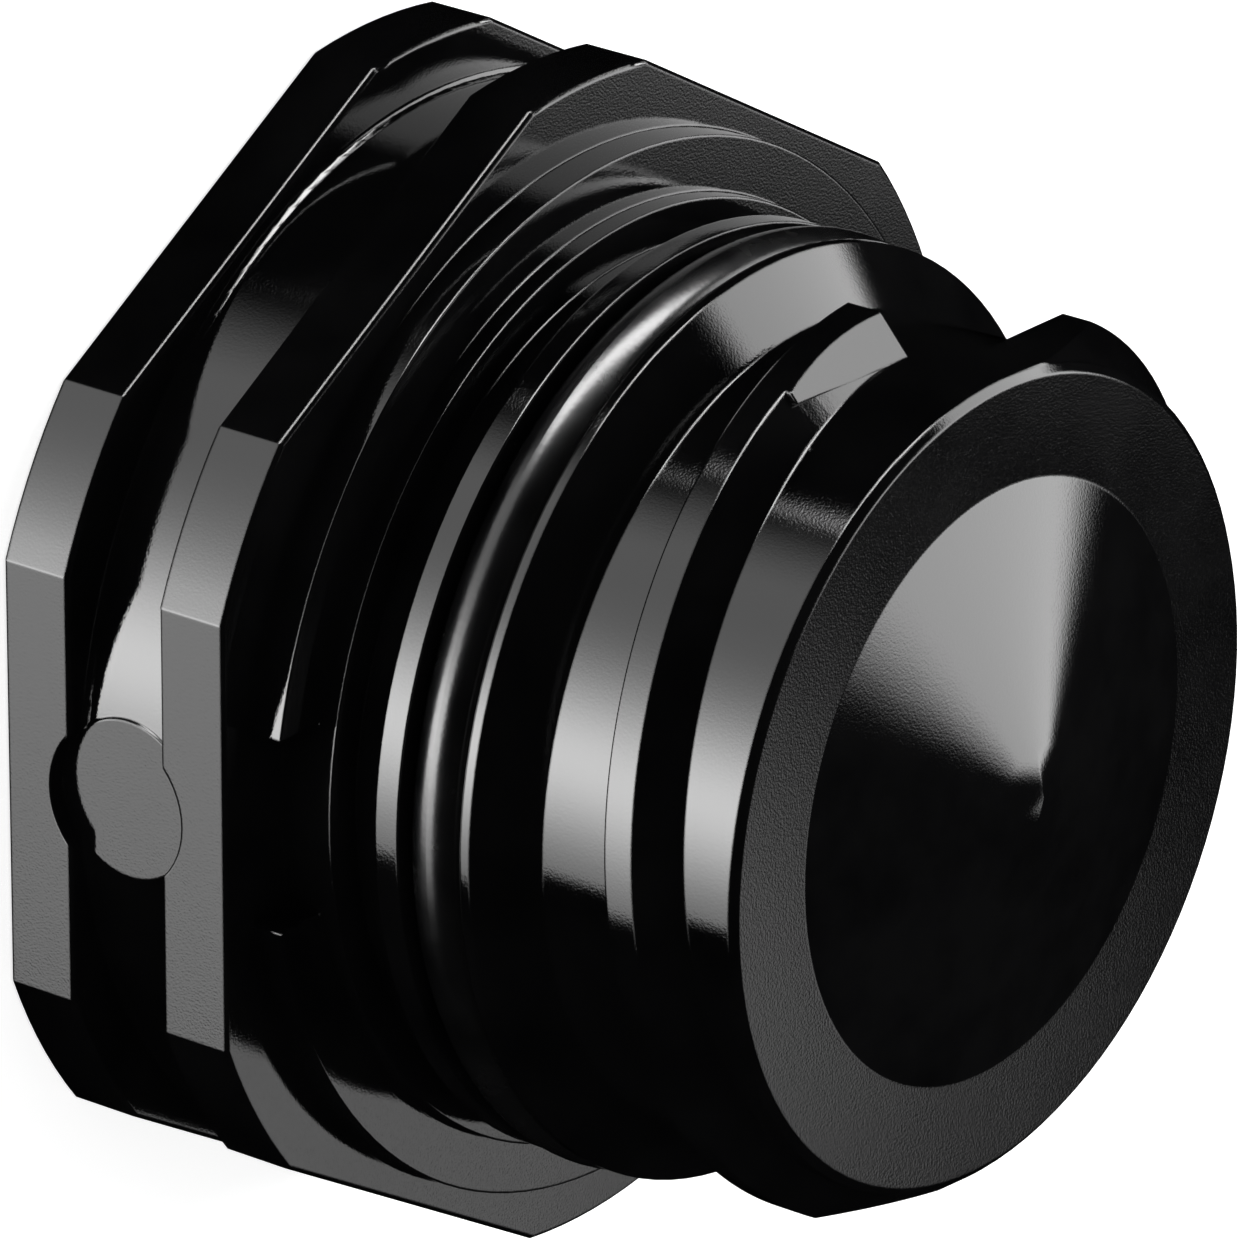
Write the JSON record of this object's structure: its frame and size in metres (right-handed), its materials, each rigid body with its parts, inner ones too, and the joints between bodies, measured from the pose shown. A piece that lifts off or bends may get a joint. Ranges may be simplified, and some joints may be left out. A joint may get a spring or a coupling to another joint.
{
  "type": "manifold end plug",
  "caption": "Bayonet end plug for a manifold, with a grooved hexagon flange, a slotted lock ring, an O-ring in its groove and a shallow cone on the nose.",
  "frame": {"origin": "centre of the flange's outer face, on the plug's axis", "axes": "+Z along the plug's axis towards its nose, -Y through the flat that has the round seat and the slot of the lock ring"},
  "size_m": [0.0536, 0.05, 0.0364],
  "materials": {
    "body": "fine machined gloss",
    "seal": "lightly oiled"
  },
  "bodies": {
    "root": {"plug_body": "body", "o_ring": "seal"}
  },
  "joints": []
}
